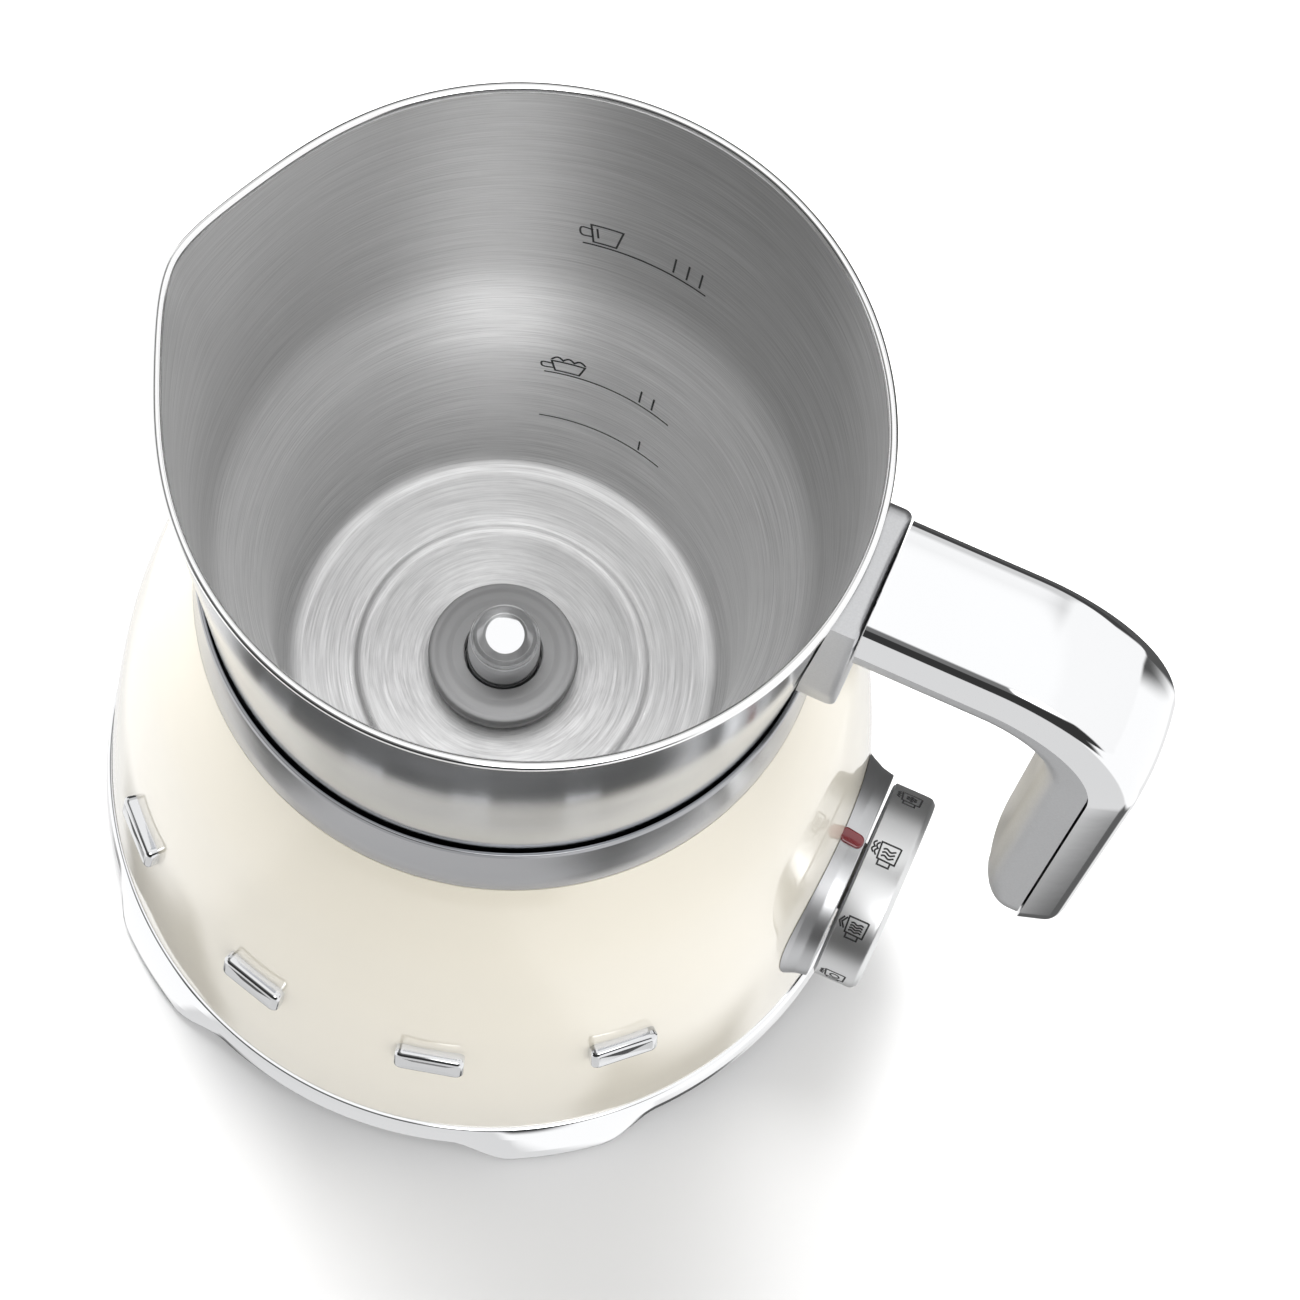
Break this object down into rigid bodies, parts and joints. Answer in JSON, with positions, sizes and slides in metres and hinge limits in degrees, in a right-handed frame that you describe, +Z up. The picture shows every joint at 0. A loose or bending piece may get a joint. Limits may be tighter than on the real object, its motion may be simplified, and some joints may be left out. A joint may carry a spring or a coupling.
{
  "type": "milk frother",
  "caption": "Table-top induction milk frother: lift-off steel jug with handle and spout, magnetic stirring disc, programme dial with a start button, on a flared housing.",
  "frame": {"origin": "on the jug's axis, at the surface the rubber feet stand on", "axes": "+Z up; +X towards the handle and the dial, -X towards the pouring spout; -Y towards the front with the four trim bars, +Y towards the cord gland and the level marks"},
  "size_m": [0.1865, 0.1536, 0.1865],
  "materials": {
    "steel": "brushed inside, polished outside",
    "chrome": "polished",
    "satin": "satin grey metal",
    "cream": "glossy cream",
    "black": "moulded",
    "rubber": "matt",
    "grey": "moulded, satin",
    "red": "dark red",
    "copper": "enamelled copper winding",
    "zinc": "zinc plated",
    "ferrite": "sintered",
    "board": "laminate",
    "white": "moulded"
  },
  "bodies": {
    "base": {"body_shell": "cream", "collar_ring": "chrome", "plinth_ring": "chrome", "base_plate": "black", "jug_cradle": "black", "probe_spring": "zinc", "probe_holder": "white", "coil_former": "white", "induction_coil": "copper", "carrier_post": "zinc", "drive_bearing": "zinc", "motor_can": "zinc", "motor_bracket": "zinc", "bracket_screw_1": "zinc", "bracket_screw_2": "zinc", "drive_belt": "rubber", "power_board": "board", "filter_choke": "black", "capacitor_1": "black", "heat_sink": "satin", "dial_bezel": "chrome", "indicator_mark": "red", "dial_encoder": "board", "button_spring": "zinc", "cord_gland": "rubber", "rubber_foot_1": "rubber", "base_screw_1": "zinc", "trim_bar_1": "chrome", "ferrite_bar_1": "ferrite", "rubber_foot_2": "rubber", "base_screw_2": "zinc", "trim_bar_2": "chrome", "ferrite_bar_2": "ferrite", "rubber_foot_3": "rubber", "base_screw_3": "zinc", "trim_bar_3": "chrome", "ferrite_bar_3": "ferrite", "rubber_foot_4": "rubber", "base_screw_4": "zinc", "trim_bar_4": "chrome", "ferrite_bar_4": "ferrite"},
    "jug": {"jug_body": "steel", "pivot_pin": "chrome", "handle_bracket": "satin", "handle_shell": "chrome", "handle_grip": "satin", "handle_bolt": "zinc"},
    "bush": {"disc_bush": "black"},
    "disc": {"stirring_disc": "grey"},
    "drive": {"magnet_carrier": "white", "drive_magnet_1": "zinc", "drive_magnet_2": "zinc", "drive_pulley": "white"},
    "motor_rotor": {"motor_shaft": "zinc", "motor_pulley": "white"},
    "dial": {"dial_knob": "chrome", "dial_spindle": "white"},
    "button": {"start_button": "satin", "button_plunger": "white"},
    "probe": {"temperature_probe": "zinc"}
  },
  "joints": [
    {"name": "jug_lift", "type": "slide", "parent": "base", "child": "jug", "axis": [0, 0, 1], "range_m": [0, 0.15]},
    {"name": "disc_lift", "type": "slide", "parent": "jug", "child": "bush", "axis": [0, 0, 1], "range_m": [0, 0.11]},
    {"name": "disc_spin", "type": "hinge", "parent": "bush", "child": "disc", "pos_m": [0, 0, 0.073], "axis": [0, 0, 1], "continuous": true},
    {"name": "drive_spin", "type": "hinge", "parent": "base", "child": "drive", "pos_m": [0, 0, 0.049], "axis": [0, 0, 1], "continuous": true},
    {"name": "motor_spin", "type": "hinge", "parent": "base", "child": "motor_rotor", "pos_m": [-0.033, 0, 0.049], "axis": [0, 0, 1], "continuous": true},
    {"name": "dial_turn", "type": "hinge", "parent": "base", "child": "dial", "pos_m": [0.0785, 0, 0.0362], "axis": [1, 0, 0], "continuous": true},
    {"name": "button_press", "type": "slide", "parent": "base", "child": "button", "axis": [-1, 0, 0], "range_m": [0, 0.001], "stiffness_N_per_m": 600, "springref_m": -0.002},
    {"name": "probe_press", "type": "slide", "parent": "base", "child": "probe", "axis": [0, 0, -1], "range_m": [0, 0.001], "stiffness_N_per_m": 300, "springref_m": -0.001, "deforming": ["probe_spring"]}
  ],
  "couplings": [
    {"joint": "disc_spin", "follows": "drive_spin", "ratio": 1},
    {"joint": "motor_spin", "follows": "drive_spin", "ratio": 2.3333}
  ]
}
